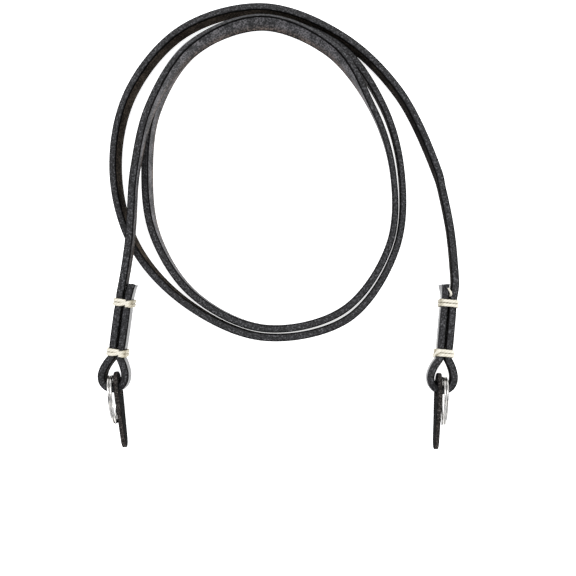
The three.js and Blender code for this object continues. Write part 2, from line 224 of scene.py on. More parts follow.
def place_at(end, side, along):
    along_way, side_way = directions_of(end)
    place = Vector((end["apex"][0], end["apex"][1], 0)) * COIL_RADIUS + along_way * along + side_way * side
    share = (BIGHT_LENGTH - along) / (BIGHT_LENGTH + TAIL_LENGTH)
    tail_height = LACE_WIDTH / 2 + end["tail_rise"] * CROSSING_RISE
    place.z = bight_height() + (tail_height - bight_height()) * share
    return place


def squeeze_at(along):
    nearest = min(abs(along + LOWER_BINDING), abs(along + UPPER_BINDING))
    return SQUEEZE * (1 - smooth_step((nearest - BINDING_LENGTH / 2) / PINCH_FADE))


def end_stations(end):
    """One end, from the coil down the leg, round the bight and back up the tail."""
    stations = []

    def add(side, along, squeeze, lean=0):
        place = place_at(end, side, along)
        stations.append(station(place.x, place.y, place.z, lean, squeeze))

    for x, y, rise in reversed(end["leg"]):
        height = LACE_WIDTH / 2 + rise * CROSSING_RISE
        stations.append(station(x * COIL_RADIUS, y * COIL_RADIUS, height))
    stops = [UPPER_BINDING + BINDING_LENGTH, UPPER_BINDING + BINDING_LENGTH / 2,
             UPPER_BINDING - BINDING_LENGTH / 2, UPPER_BINDING - BINDING_LENGTH,
             LOWER_BINDING + BINDING_LENGTH, LOWER_BINDING + BINDING_LENGTH / 2]
    for stop in stops:
        add(strand_offset(squeeze_at(-stop)), -stop, squeeze_at(-stop))
    bight_stops = 16
    for i in range(bight_stops + 1):
        side, along = bight_point(2 * math.pi * i / bight_stops)
        squeeze = squeeze_at(along)
        pinch = strand_offset(0) - strand_offset(squeeze)
        add(side - math.copysign(pinch, side), along, squeeze)
    for stop in reversed(stops):
        add(-strand_offset(squeeze_at(-stop)), -stop, squeeze_at(-stop))
    add(-strand_offset(0) - end["tail_splay"], -TAIL_LENGTH, 0, end["tail_lean"])
    return stations


print(len(end_stations(ENDS[0])), "stations on each folded end")


# %% [markdown]
# ## One smooth line
# Leather that isn't creased runs in one smooth curve. A centripetal Catmull-Rom curve passes through every
# station without a loop or a kink, even where stations are close together. The heights and leans are eased
# between stations, so the lace never dips below the table between two places that lie on it.

# %% The smooth line through the stations
def reached_past_ends(places):
    """The places with one more at each end, straight on, and the gaps that a centripetal curve uses."""
    places = [2 * places[0] - places[1], *places, 2 * places[-1] - places[-2]]
    return places, [math.sqrt((after - before).length) for before, after in zip(places, places[1:])]


def curve_point(places, gaps, i, share):
    """A point of the smooth curve, a share of the way from place i + 1 to place i + 2."""
    before, here, there, after = places[i:i + 4]
    d0, d1, d2 = gaps[i:i + 3]
    start = ((here - before) / d0 - (there - before) / (d0 + d1) + (there - here) / d1) * d1
    finish = ((there - here) / d1 - (after - here) / (d1 + d2) + (after - there) / d2) * d1
    square = 3 * (there - here) - 2 * start - finish
    cube = 2 * (here - there) + start + finish
    return here + share * (start + share * (square + share * cube))


def eased(values, i, share):
    def slope_at(k):
        if k in (0, len(values) - 1):
            return 0
        into, out = values[k] - values[k - 1], values[k + 1] - values[k]
        return 2 * into * out / (into + out) if into * out > 0 else 0

    rise = values[i + 1] - values[i]
    start, finish = slope_at(i), slope_at(i + 1)
    square, cube = 3 * rise - 2 * start - finish, start + finish - 2 * rise
    return values[i] + share * (start + share * (square + share * cube))


def lace_line(step):
    """The lace's centre line: points with their lean and squeeze, about one step apart."""
    stations = end_stations(ENDS[0])[::-1] + coil_stations() + end_stations(ENDS[1])
    flat, gaps = reached_past_ends([Vector((s["x"], s["y"])) for s in stations])
    line = []
    for i in range(len(stations) - 1):
        pieces = max(1, round((flat[i + 2] - flat[i + 1]).length / step))
        for k in range(pieces):
            share = k / pieces
            point = curve_point(flat, gaps, i, share).to_3d()
            point.z, lean, squeeze = [eased([s[key] for s in stations], i, share)
                                      for key in ("z", "lean", "squeeze")]
            line.append((point + COIL_CENTRE, lean, squeeze))
    last = stations[-1]
    line.append((Vector((last["x"], last["y"], last["z"])) + COIL_CENTRE, last["lean"], 0))
    return line


LINE_STEP = 0.8 * MM
LINE = lace_line(LINE_STEP)
LACE_LENGTH = sum((b[0] - a[0]).length for a, b in zip(LINE, LINE[1:]))
print("lace", round(LACE_LENGTH, 4), "m long, in", len(LINE), "steps")


# %% [markdown]
# ## Meshes from rings
# The lace, the thread and the split ring are all a section swept along a line. One helper joins rings of
# points into a closed skin. It also writes how far along and how far round each corner is, in metres, for
# the patterns, and one number a point, called edge. On the lace it says how near the middle of a cut edge
# the point is, which places the painted arris shade; on the thread it says how high on a ply the point is
# and how much painted shade it takes.

# %% Join rings of points into a piece
def placed(name, data):
    """An object of the scene that holds this mesh or light."""
    thing = bpy.data.objects.new(name, data)
    bpy.context.scene.collection.objects.link(thing)
    return thing


def swept_piece(name, rings, edge_shares, round_marks, materials, column_slots=()):
    around = len(rings[0])
    points = [point for ring in rings for point in ring]
    faces, corners = [], []
    along = [0.0]
    for before, after in zip(rings, rings[1:]):
        middle = [sum(ring, Vector()) / around for ring in (before, after)]
        along.append(along[-1] + (middle[1] - middle[0]).length)
    for i in range(len(rings) - 1):
        for k in range(around):
            m = (k + 1) % around
            faces.append((i * around + k, i * around + m, (i + 1) * around + m, (i + 1) * around + k))
            corners += [(along[i], round_marks[k]), (along[i], round_marks[k + 1]),
                        (along[i + 1], round_marks[k + 1]), (along[i + 1], round_marks[k])]
    for i in (0, len(rings) - 1):
        cap = [i * around + k for k in range(around)]
        faces.append(tuple(cap[::-1] if i == 0 else cap))
        corners += [(along[i], round_marks[k]) for k in (range(around)[::-1] if i == 0 else range(around))]
    mesh = bpy.data.meshes.new(name)
    mesh.from_pydata(points, [], faces)
    mesh.uv_layers.new(name="run").data.foreach_set("uv", [value for pair in corners for value in pair])
    mesh.attributes.new("edge", "FLOAT", "POINT").data.foreach_set("value", edge_shares)
    mesh.polygons.foreach_set("use_smooth", [True] * (len(faces) - 2) + [False] * 2)
    for material in materials:
        mesh.materials.append(material)
    if column_slots:
        mesh.polygons.foreach_set("material_index", list(column_slots) * (len(rings) - 1) + [0, 0])
    mesh.update()
    piece = placed(name, mesh)
    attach(piece, "root")
    return piece


def round_rectangle(half_x, half_y, radius, corner_steps=4, flat_steps=4):
    """Points round a rectangle with round corners, anticlockwise from the foot of its top right corner."""
    corners = []
    for quarter, (sign_x, sign_y) in enumerate(((1, 1), (-1, 1), (-1, -1), (1, -1))):
        centre = Vector((sign_x * (half_x - radius), sign_y * (half_y - radius)))
        angles = [(quarter + k / corner_steps) * math.pi / 2 for k in range(corner_steps + 1)]
        corners.append([centre + radius * Vector((math.cos(a), math.sin(a))) for a in angles])
    points = []
    for here, after in zip(corners, corners[1:] + corners[:1]):
        points += here + [here[-1].lerp(after[0], k / flat_steps) for k in range(1, flat_steps)]
    return points


def marks_round(points):
    """How far round each point of a section is, in metres, with the whole way round at the end."""
    marks = [0.0]
    for here, after in zip(points, points[1:] + points[:1]):
        marks.append(marks[-1] + (after - here).length)
    return marks


print("a section has", len(round_rectangle(1, 2, 0.3)), "points")

# %% [markdown]
# ## Colours and nodes
# Colours are picked as sRGB hex values and turned to linear light, which is what shaders add up. One small
# function adds a node with its settings and links, so each material below reads as a list.

# %% Colour and node helpers
def linear(code):
    """An sRGB hex value such as "2b2b2e" as linear red, green, blue and alpha."""
    shares = [int(code[i:i + 2], 16) / 255 for i in (0, 2, 4)]
    return (*[c / 12.92 if c <= 0.04045 else ((c + 0.055) / 1.055) ** 2.4 for c in shares], 1)


def add_node(owner, kind, settings=(), links=()):
    """Adds a node to a material or a world, sets its properties, sockets or colour stops, and links it."""
    node = owner.node_tree.nodes.new("ShaderNode" + kind)
    for key, value in dict(settings).items():
        if key == "stops":
            ramp = node.color_ramp
            while len(ramp.elements) < len(value):
                ramp.elements.new(0.5)
            for element, (place, colour) in zip(ramp.elements, value):
                element.position = place
                element.color = linear(colour) if isinstance(colour, str) else (colour, colour, colour, 1)
        elif isinstance(key, int) or key in node.inputs:
            node.inputs[key].default_value = value
        else:
            setattr(node, key, value)
    for key, socket in dict(links).items():
        owner.node_tree.links.new(socket, node.inputs[key])
    return node


def new_material(name, shader_settings):
    """A material with one Principled shader, which takes its constants on its own sockets."""
    material = bpy.data.materials.new(name)
    material.use_nodes = True
    shader = material.node_tree.nodes["Principled BSDF"]
    for key, value in shader_settings.items():
        shader.inputs[key].default_value = value
    return material, shader


def join(owner, socket, node_input):
    owner.node_tree.links.new(socket, node_input)


print("black leather", [round(v, 4) for v in linear("2b2b2e")[:3]])

# %% [markdown]
# ## Black bridle leather: the cut edges
# The lace is cut from a side of vegetable-tanned cowhide and dyed black. Its two narrow edges are the cut:
# dry, pebbly and mottled, because the open fibres scatter light. The arris on each side is painted nearly
# black: painted shade, where the rounded corner turns away from the light. The fibre bundles are about
# 0.5 mm and the dye clouds about 6 mm across, and shorter fibres run along the lace.

# %% Cut edge leather
def streaks_along(material, run, length, width, detail):
    """A noise drawn out along a piece, as streaks of about this length and width."""
    stretched = add_node(material, "Mapping", {"Scale": (1 / length, 1 / width, 1)}, {"Vector": run})
    return add_node(material, "TexNoise", {"Scale": 1, "Detail": detail, "Roughness": 0.7},
                    {"Vector": stretched.outputs["Vector"]}).outputs["Fac"]


def leather_patterns(material):
    """The patterns that the lace's three leathers share, and how far along and round the lace they are."""
    place = add_node(material, "TexCoord").outputs["Object"]
    run = add_node(material, "UVMap", {"uv_map": "run"}).outputs["UV"]
    metres = add_node(material, "SeparateXYZ", (), {"Vector": run})
    return {
        "along": metres.outputs["X"],
        "round": metres.outputs["Y"],
        "pebbles": add_node(material, "TexNoise", {"Scale": 1 / (0.62 * MM), "Detail": 3, "Roughness": 0.7},
                            {"Vector": place}).outputs["Fac"],
        "clouds": add_node(material, "TexNoise", {"Scale": 1 / (6 * MM), "Detail": 3, "Roughness": 0.6},
                           {"Vector": place}).outputs["Fac"],
        "pores": add_node(material, "TexVoronoi", {"Scale": 1 / (0.5 * MM)},
                          {"Vector": place}).outputs["Distance"],
        "fibres": streaks_along(material, run, 2.2 * MM, 0.3 * MM, 3),
    }


def relief_of(material, shader, depth, strength, height, *added):
    """Raises the surface by one pattern, and by others that are added to it with their weights."""
    for pattern, weight in added:
        height = add_node(material, "Math", {"operation": "MULTIPLY_ADD", 1: weight},
                          {0: pattern, 2: height}).outputs[0]
    bump = add_node(material, "Bump", {"Distance": depth, "Strength": strength}, {"Height": height})
    join(material, bump.outputs["Normal"], shader.inputs["Normal"])


def cut_edge_leather():
    material, shader = new_material("bridle_leather_cut_edge", {"IOR": 1.5})
    patterns = leather_patterns(material)
    edge = add_node(material, "Attribute", {"attribute_name": "edge"}).outputs["Fac"]
    grain = add_node(material, "Math", {"operation": "MULTIPLY_ADD", 1: 0.5},
                     {0: patterns["fibres"], 2: patterns["pebbles"]}).outputs[0]
    cut = add_node(material, "ValToRGB", {"stops": [(0.54, "070707"), (0.68, "1b1b1c"), (0.8, "333335"),
                                                    (0.94, "68686b")]}, {"Fac": grain}).outputs["Color"]
    shade = add_node(material, "ValToRGB", {"stops": [(0.3, 0.6), (0.7, 1.0)]},
                     {"Fac": patterns["clouds"]}).outputs["Color"]
    cut = add_node(material, "Mix", {"data_type": "RGBA", "blend_type": "MULTIPLY", 0: 0.7},
                   {6: cut, 7: shade}).outputs[2]
    # Painted shade: the rounded arris of each cut edge is painted near-black, where the corner turns away
    # from the light.
    arris_painted_shade = add_node(material, "ValToRGB", {"stops": [(0.12, 1.0), (0.44, 0.0)]},
                     {"Fac": edge}).outputs["Color"]
    colour = add_node(material, "Mix", {"data_type": "RGBA", 7: linear("040404")}, {0: arris_painted_shade, 6: cut})
    join(material, colour.outputs[2], shader.inputs["Base Color"])
    sheen = add_node(material, "Mix", {"data_type": "FLOAT", 2: 0.22, 3: 0.02}, {0: arris_painted_shade}).outputs[0]
    join(material, sheen, shader.inputs["Specular IOR Level"])
    rough = add_node(material, "ValToRGB", {"stops": [(0.3, 0.62), (0.7, 0.82)]},
                     {"Fac": patterns["fibres"]}).outputs["Color"]
    join(material, rough, shader.inputs["Roughness"])
    relief_of(material, shader, 0.1 * MM, 0.6, patterns["pebbles"], (patterns["pores"], 0.5),
              (patterns["fibres"], 0.4))
    return material


CUT_EDGE = cut_edge_leather()
print(CUT_EDGE.name, "with", len(CUT_EDGE.node_tree.nodes), "nodes")

# %% [markdown]
# ## The same leather's two faces
# The hide's outer face is the grain side. It is waxed and rolled smooth, and so it mirrors the pale table
# softly when it is seen at a slant. It lies outwards all along the lace. The inner face is the flesh side.
# The last turn's is painted brown-black, dull and a little fuzzy, as painted shade, and near the lace's end
# it is painted darker still, as painted shade. The first turns' is painted grey where they catch the light,
# as painted light, and is smooth enough there to catch a soft sheen. Towards its foot that grey is painted
# a little browner and darker.

# %% Grain side and flesh side
def grain_side_leather():
    material, shader = new_material("bridle_leather_grain_side", {"IOR": 1.5, "Specular IOR Level": 0.5})
    patterns = leather_patterns(material)
    colour = add_node(material, "ValToRGB", {"stops": [(0.3, "0c0c0e"), (0.6, "17171a"), (0.8, "232327")]},
                      {"Fac": patterns["clouds"]}).outputs["Color"]
    join(material, colour, shader.inputs["Base Color"])
    rough = add_node(material, "ValToRGB", {"stops": [(0.3, 0.2), (0.75, 0.36)]},
                     {"Fac": patterns["pebbles"]}).outputs["Color"]
    join(material, rough, shader.inputs["Roughness"])
    relief_of(material, shader, 0.03 * MM, 0.5, patterns["pores"], (patterns["pebbles"], 0.6))
    return material


def flesh_side_leather():
    material, shader = new_material("bridle_leather_flesh_side", {"IOR": 1.45})
    patterns = leather_patterns(material)
    grain = add_node(material, "Math", {"operation": "MULTIPLY_ADD", 1: 0.6},
                     {0: patterns["clouds"], 2: patterns["pebbles"]}).outputs[0]
    # Painted shade: the flesh side's brown-black colour, for the turns that lie in shade.
    painted_shaded_flesh = add_node(material, "ValToRGB", {"stops": [(0.6, "13100e"), (0.78, "2c2722"), (0.96, "544b42")]},
                   {"Fac": grain}).outputs["Color"]
    # Painted shade: towards the lace's end the shaded flesh colour is painted darker and cooler.
    painted_end_shade = add_node(material, "ValToRGB", {"stops": [(0.86, "ffffff"), (0.93, "a2a8b4")]},
                    {"Fac": patterns["along"]}).outputs["Color"]
    painted_shaded_flesh = add_node(material, "Mix", {"data_type": "RGBA", "blend_type": "MULTIPLY", 0: 1.0},
                   {6: painted_shaded_flesh, 7: painted_end_shade}).outputs[2]
    # Painted light: the flesh side's grey colour, for the turns that catch the light.
    painted_lit_flesh = add_node(material, "ValToRGB", {"stops": [(0.58, "060607"), (0.76, "1e1f21"),
                                                        (0.93, "626063")]}, {"Fac": grain}).outputs["Color"]
    foot_share = add_node(material, "MapRange", {"From Min": 5.6 * MM, "From Max": 7.4 * MM},
                          {"Value": patterns["round"]}).outputs["Result"]
    foot = add_node(material, "ValToRGB", {"stops": [(0.0, "ffffff"), (1.0, "ffe6d0")]},
                    {"Fac": foot_share}).outputs["Color"]
    painted_lit_flesh = add_node(material, "Mix", {"data_type": "RGBA", "blend_type": "MULTIPLY", 0: 1.0},
                       {6: painted_lit_flesh, 7: foot}).outputs[2]
    # Along the lace, this share picks the painted lit grey over the painted shaded brown-black, and also
    # makes the face smoother and glossier there.
    painted_lit_share = add_node(material, "ValToRGB", {"stops": [(0.06, 0.3), (0.12, 1.0), (0.46, 1.0), (0.64, 0.25),
                                                      (0.74, 0.0)]}, {"Fac": patterns["along"]})
    painted_lit_share = painted_lit_share.outputs["Color"]
    colour = add_node(material, "Mix", {"data_type": "RGBA"}, {0: painted_lit_share, 6: painted_shaded_flesh, 7: painted_lit_flesh}).outputs[2]
    join(material, colour, shader.inputs["Base Color"])
    sheen = add_node(material, "Mix", {"data_type": "FLOAT", 2: 0.05, 3: 0.35}, {0: painted_lit_share}).outputs[0]
    join(material, sheen, shader.inputs["Specular IOR Level"])
    rough = add_node(material, "Mix", {"data_type": "FLOAT", 2: 0.88, 3: 0.4}, {0: painted_lit_share}).outputs[0]
    rough = add_node(material, "Math", {"operation": "MULTIPLY_ADD", 1: 0.45},
                     {0: patterns["pebbles"], 2: rough}).outputs[0]
    join(material, rough, shader.inputs["Roughness"])
    relief_of(material, shader, 0.1 * MM, 0.8, patterns["pebbles"], (patterns["fibres"], 0.8))
    return material


GRAIN_SIDE, FLESH_SIDE = grain_side_leather(), flesh_side_leather()
print(GRAIN_SIDE.name, "and", FLESH_SIDE.name)

# %% [markdown]
# ## The lace
# The section is a rectangle with corners rounded to about half a millimetre. It is swept along the line
# with its thickness kept level and its width kept upright, apart from the lean. A cut hide is never quite
# even, so slow noise swells and thins it by two per cent. The cut ends are pulled a little wider and are
# ragged. Near the right-hand cut end, the smooth grain side reaches round the upper corner.

# %% Sweep the lace
CORNER_RADIUS = 0.55 * MM
CORNER_STEPS = 4
TAIL_STEPS = 50
LACE_LEATHERS = [CUT_EDGE, GRAIN_SIDE, FLESH_SIDE]


def lace_section(centre, tangent, lean, squeeze, swell):
    level = UP.cross(tangent).normalized()
    upright = tangent.cross(level).normalized()
    angle = math.radians(lean)
    across = level * math.cos(angle) - upright * math.sin(angle)
    tall = upright * math.cos(angle) + level * math.sin(angle)
    half_x = LACE_THICKNESS / 2 * (1 - squeeze) * swell
    outline = round_rectangle(half_x, LACE_WIDTH / 2, CORNER_RADIUS, CORNER_STEPS)
    return [centre + across * p.x + tall * p.y for p in outline]


def leather_of_side(here, after):
    """Which of the lace's leathers lies between two points of its section: a face's, or the cut edge's."""
    reach = (here.x + after.x) / LACE_THICKNESS
    return GRAIN_SIDE if reach > 0.999 else FLESH_SIDE if reach < -0.999 else CUT_EDGE


def make_lace():
    outline = round_rectangle(LACE_THICKNESS / 2, LACE_WIDTH / 2, CORNER_RADIUS, CORNER_STEPS)
    foot = LACE_WIDTH / 2 - CORNER_RADIUS
    share = [1 - abs(p.x) / (LACE_THICKNESS / 2) if abs(p.y) > foot else 0 for p in outline]
    rings = []
    travelled = 0
    for i, (centre, lean, squeeze) in enumerate(LINE):
        before, after = LINE[max(i - 1, 0)][0], LINE[min(i + 1, len(LINE) - 1)][0]
        travelled += (centre - LINE[max(i - 1, 0)][0]).length
        wobble = noise.noise(Vector((travelled / (14 * MM), 3.1, 0)))
        from_end = min(travelled, LACE_LENGTH - travelled)
        flare = 0.09 * max(0, 1 - from_end / (1.6 * MM)) ** 2
        swell = 1 + 0.02 * wobble + flare
        tangent = (after - before).normalized()
        section = lace_section(centre, tangent, lean, squeeze, swell)
        if i in (0, len(LINE) - 1):
            section = [p + tangent * 0.3 * MM * noise.noise(p / (0.8 * MM)) for p in section]
        rings.append(section)
    leathers = [leather_of_side(here, after) for here, after in zip(outline, outline[1:] + outline[:1])]
    slots = [LACE_LEATHERS.index(leather) for leather in leathers]
    piece = swept_piece("lace", rings, share * len(rings), marks_round(outline), LACE_LEATHERS, slots)
    for i in range(len(LINE) - TAIL_STEPS, len(LINE) - 1):
        for k in range(CORNER_STEPS):
            piece.data.polygons[i * len(outline) + k].material_index = LACE_LEATHERS.index(GRAIN_SIDE)
    return piece


lace = make_lace()
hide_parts("strap")
print("lace has", len(lace.data.polygons), "faces")

# %% [markdown]
# ## Waxed linen thread
# The bindings are two turns of thick three-ply linen thread, drawn through beeswax. The high parts of the
# plies are ivory. Olive lies between them, partly dust and partly painted shade, and painted shade also
# darkens the thread where one turn meets the next and on the side of a binding that faces the tail. The
# fibres are finer than the picture shows, so their noise is drawn at 0.3 mm.

# %% Thread material
def waxed_thread():
    material, shader = new_material("linen_thread_waxed", {"IOR": 1.48, "Specular IOR Level": 0.4})
    place = add_node(material, "TexCoord").outputs["Object"]
    # The edge number holds the ply crests and the painted shade where turns meet and on the tail side; low
    # values are painted olive.
    crest = add_node(material, "Attribute", {"attribute_name": "edge"}).outputs["Fac"]
    dust = add_node(material, "TexNoise", {"Scale": 1 / (1.4 * MM), "Detail": 4, "Roughness": 0.6},
                    {"Vector": place}).outputs["Fac"]
    run = add_node(material, "UVMap", {"uv_map": "run"}).outputs["UV"]
    fibres = streaks_along(material, run, 1.2 * MM, 0.12 * MM, 4)
    depth = add_node(material, "Math", {"operation": "MULTIPLY", 1: 0.6}, {0: crest}).outputs[0]
    depth = add_node(material, "Math", {"operation": "MULTIPLY_ADD", 1: 0.6}, {0: dust, 2: depth}).outputs[0]
    colour = add_node(material, "ValToRGB", {"stops": [(0.12, "2a2519"), (0.38, "958d78"), (0.62, "cbc5b4"),
                                                       (0.9, "dfdbcf")]}, {"Fac": depth}).outputs["Color"]
    join(material, colour, shader.inputs["Base Color"])
    rough = add_node(material, "ValToRGB", {"stops": [(0.3, 0.45), (0.7, 0.7)]}, {"Fac": fibres})
    join(material, rough.outputs["Color"], shader.inputs["Roughness"])
    relief_of(material, shader, 0.06 * MM, 0.7, fibres)
    return material


THREAD = waxed_thread()
print(THREAD.name, "with", len(THREAD.node_tree.nodes), "nodes")

# %% [markdown]
# ## The bindings
# Each binding is one thread wound twice round both strands. Its turns lie side by side, and it steps over
# from one to the next once. Its section is a flattened round with three lobes that turn along it, which
# are the twisted plies. Hand-wound thread is a little slack and lumpy.

# %% Wind the thread
PLY_PITCH = 1.05 * MM
PLIES = 3
THREAD_POINTS = 18
THREAD_SEAT = 0.12 * MM
LOOP_CORNER = 0.95 * MM
LUMP_LENGTH = 2.2 * MM


def binding_frame(end, along):
    place = place_at(end, 0, -along)
    onward = (place_at(end, 0, MM - along) - place).normalized()
    side = directions_of(end)[1]
    return Matrix((side, onward.cross(side), onward)).transposed(), place + COIL_CENTRE


def thread_ring(centre, out_way, over_way, half_out, half_over, travelled):
    """The thread's flattened section with its three plies, and how high on a ply each point lies."""
    points, crests = [], []
    for c in range(THREAD_POINTS):
        angle = 2 * math.pi * c / THREAD_POINTS
        lobe = math.cos(PLIES * (angle - 2 * math.pi * travelled / (PLIES * PLY_PITCH)))
        reach = 1 - 0.06 * (1 - lobe)
        flat = math.copysign(abs(reach * math.cos(angle)) ** 0.7, math.cos(angle))
        points.append(centre + out_way * half_out * flat + over_way * half_over * reach * math.sin(angle))
        crests.append(0.8 + 0.2 * lobe)
    return points, crests


def thread_marks(half):
    """How far round the thread each point of its section is, in metres."""
    return [2 * math.pi * half * c / THREAD_POINTS for c in range(THREAD_POINTS + 1)]


def make_binding(end, name, along):
    turning, place = binding_frame(end, along)
    thick = THREAD_THICKNESS / 2
    wide = BINDING_LENGTH / BINDING_TURNS / 2
    half_x = strand_offset(SQUEEZE) + LACE_THICKNESS * (1 - SQUEEZE) / 2 + THREAD_SEAT + thick
    half_y = LACE_WIDTH / 2 + THREAD_SEAT + thick
    loop = round_rectangle(half_x, half_y, LOOP_CORNER, 10, 22)
    around = marks_round(loop)[-1]
    first = len(loop) * 5 // 8
    # Painted shade: where one turn meets the next, along the lace, the thread is painted darker.
    seam_shade_factors = [1 - abs(math.sin(2 * math.pi * c / THREAD_POINTS)) ** 8 for c in range(THREAD_POINTS)]
    rings, shares = [], []
    for i in range(len(loop) * BINDING_TURNS + 1):
        k = (first + i) % len(loop)
        here = loop[k]
        tangent = (loop[(k + 1) % len(loop)] - loop[k - 1]).normalized()
        outward = Vector((tangent.y, -tangent.x))
        turn = i / len(loop)
        shift = (2 * smooth_step((turn - 0.9) / 0.2) - 1) * wide
        travelled = turn * around
        seed = Vector((travelled / LUMP_LENGTH, along / MM, end["side"]))
        slack = 0.05 * MM * noise.noise(seed)
        lump = 1 + 0.1 * noise.noise(seed * 1.7 + Vector((0, 5, 0)))
        centre = Vector((here.x + outward.x * slack, here.y + outward.y * slack, shift))
        ring, crests = thread_ring(centre, outward.to_3d(), UP, thick, wide * lump, travelled)
        rings.append([place + turning @ point for point in ring])
        # Painted shade: on the side of a binding that faces the tail, the thread is painted darker.
        tail_side_shade_factor = min(1, max(0, (here.x + half_x) / (1.3 * MM) - 0.15))
        shares += [crest * seam_shade_factor * (0.3 + 0.7 * tail_side_shade_factor) for crest, seam_shade_factor in zip(crests, seam_shade_factors)]
    piece = swept_piece("thread_" + end["name"] + "_" + name, rings, shares, thread_marks(wide), [THREAD])
    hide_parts("binding_" + end["name"] + "_" + name)
    return piece


for end in ENDS:
    make_binding(end, "upper", UPPER_BINDING)
    make_binding(end, "lower", LOWER_BINDING)

# %% [markdown]
# ## Knot and loose end
# The right-hand bindings were tied off by hand. A short end comes out of the groove between leg and tail,
# and a small knot sits on the lower binding's corner. Each is a few listed points, in millimetres, joined
# by a smooth curve.

# %% Tie off the thread
LOOSE_END = [(60.75, -25.2, 5.4), (60.95, -24.6, 7.2), (60.85, -23.9, 7.75), (60.4, -23.1, 7.7),
             (59.85, -22.3, 7.6)]
KNOT = [(54.6, -46.6, 8.3), (55.4, -45.4, 9.1), (56.3, -44.4, 9.4), (57.0, -44.2, 9.2), (56.4, -44.9, 9.7),
        (55.6, -45.2, 9.6), (55.0, -46.0, 9.0)]
STEPS_BETWEEN = 6


def make_tied_piece(name, points, half):
    places, gaps = reached_past_ends([Vector(point) * MM for point in points])
    line = [curve_point(places, gaps, i, k / STEPS_BETWEEN)
            for i in range(len(points) - 1) for k in range(STEPS_BETWEEN)]
    line.append(places[-2])
    rings, shares = [], []
    for i, centre in enumerate(line):
        tangent = (line[min(i + 1, len(line) - 1)] - line[max(i - 1, 0)]).normalized()
        out_way = UP.cross(tangent).normalized()
        size = half * (1 - 0.45 * (i / (len(line) - 1)) ** 3)
        travelled = i / STEPS_BETWEEN * MM
        ring, crests = thread_ring(centre, out_way, tangent.cross(out_way), size, size, travelled)
        rings.append(ring[::-1])
        shares += crests[::-1]
    piece = swept_piece(name, rings, shares, thread_marks(half), [THREAD])
    return piece


tied_pieces = [make_tied_piece("thread_loose_end", LOOSE_END, 0.42 * MM),
               make_tied_piece("thread_knot", KNOT, 0.4 * MM)]
print("tied off with", [piece.name for piece in tied_pieces])

# %% [markdown]
# ## Nickel-plated spring steel
# The split rings are flat spring-steel wire, tumbled and plated with bright nickel. It mirrors the white
# room, with faint tumbling marks along the wire that spread its highlights a little.

# %% Ring metal
def plated_steel():
    material, shader = new_material("spring_steel_nickel_plated", {"Metallic": 1.0})
    place = add_node(material, "TexCoord").outputs["Object"]
    run = add_node(material, "UVMap", {"uv_map": "run"}).outputs["UV"]
    marks = streaks_along(material, run, 4 * MM, 0.1 * MM, 3)
    clouds = add_node(material, "TexNoise", {"Scale": 1 / (2.5 * MM), "Detail": 2}, {"Vector": place})
    colour = add_node(material, "ValToRGB", {"stops": [(0.3, "a9a8a6"), (0.7, "c9c6c1")]},
                      {"Fac": clouds.outputs["Fac"]}).outputs["Color"]
    join(material, colour, shader.inputs["Base Color"])
    rough = add_node(material, "ValToRGB", {"stops": [(0.3, 0.16), (0.75, 0.24)]}, {"Fac": marks})
    join(material, rough.outputs["Color"], shader.inputs["Roughness"])
    relief_of(material, shader, 0.01 * MM, 0.04, marks)
    return material


RING_STEEL = plated_steel()
print(RING_STEEL.name, "with", len(RING_STEEL.node_tree.nodes), "nodes")

# %% [markdown]
# ## The split rings and where they stand
# A ring and its guard stand on edge with the bight passing through both. Their place is worked out from
# where their line crosses the bight, as in the solid model. The ring is two turns of wire that step from
# one layer to the other. The step takes twice STEP_HALF degrees, and each end lies END_GAP degrees past it.

# %% The standing frame of an end
def crossing_of(end, offset):
    slope = math.tan(math.radians(end["swing"]))
    places = [bight_point(math.pi * (0.5 + i / 400)) for i in range(401)]
    return min(places, key=lambda p: abs(p[0] - offset + slope * (p[1] - BIGHT_LENGTH)))


def standing_frame(end):
    along, side = directions_of(end)
    swing, lean = math.radians(end["swing"]), math.radians(end["lean"])
    x = along * math.cos(swing) - side * math.sin(swing)
    inward = -side * math.cos(swing) - along * math.sin(swing)
    y = UP * math.cos(lean) + inward * math.sin(lean)
    return x, y, x.cross(y)


def stand_at(end, lace_place, across, base, half_depth):
    """A piece's turning and place, and how high up it the lace passes."""
    x, y, z = standing_frame(end)
    lean = math.radians(end["lean"])
    height = (lace_place.z - half_depth * math.sin(lean)) / math.cos(lean) + base
    place = lace_place - x * across - y * height
    return Matrix((x, y, z)).transposed(), place + COIL_CENTRE, height


print("left guard leans", ENDS[0]["lean"], "degrees")


# %% Coil the ring wire
WIRE_CORNER = 0.24 * MM
RING_STEPS = 300
STEP_HALF = 20
END_GAP = 3


def make_ring(end):
    crossing = crossing_of(end, end["ring_offset"])
    to_centre = RING_DIAMETER / 2 - WIRE_DEPTH - RING_SLACK - LACE_THICKNESS / 2
    lace_place = place_at(end, *crossing)
    turning, place, _ = stand_at(end, lace_place, -to_centre, -RING_DIAMETER / 2, RING_DEPTH / 2)
    radius, layer = (RING_DIAMETER - WIRE_DEPTH) / 2, (WIRE_THICKNESS + TURN_GAP) / 2
    outline = round_rectangle(WIRE_DEPTH / 2, WIRE_THICKNESS / 2, WIRE_CORNER, 4, 2)
    rings = []
    first, last = STEP_HALF + END_GAP, 720 - STEP_HALF - END_GAP
    for i in range(RING_STEPS + 1):
        degrees = first + (last - first) * i / RING_STEPS
        cos, sin = math.cos(math.radians(degrees)), math.sin(math.radians(degrees))
        level = layer * (2 * smooth_step((degrees - 360 + STEP_HALF) / (2 * STEP_HALF)) - 1)
        rings.append([place + turning @ Vector(((radius + p.x) * cos, (radius + p.x) * sin, level + p.y))
                      for p in outline])
    rings.reverse()
    no_edge = [1.0] * len(outline) * len(rings)
    piece = swept_piece("split_ring_" + end["name"], rings, no_edge, marks_round(outline), [RING_STEEL])
    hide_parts("ring_" + end["name"])
    return piece


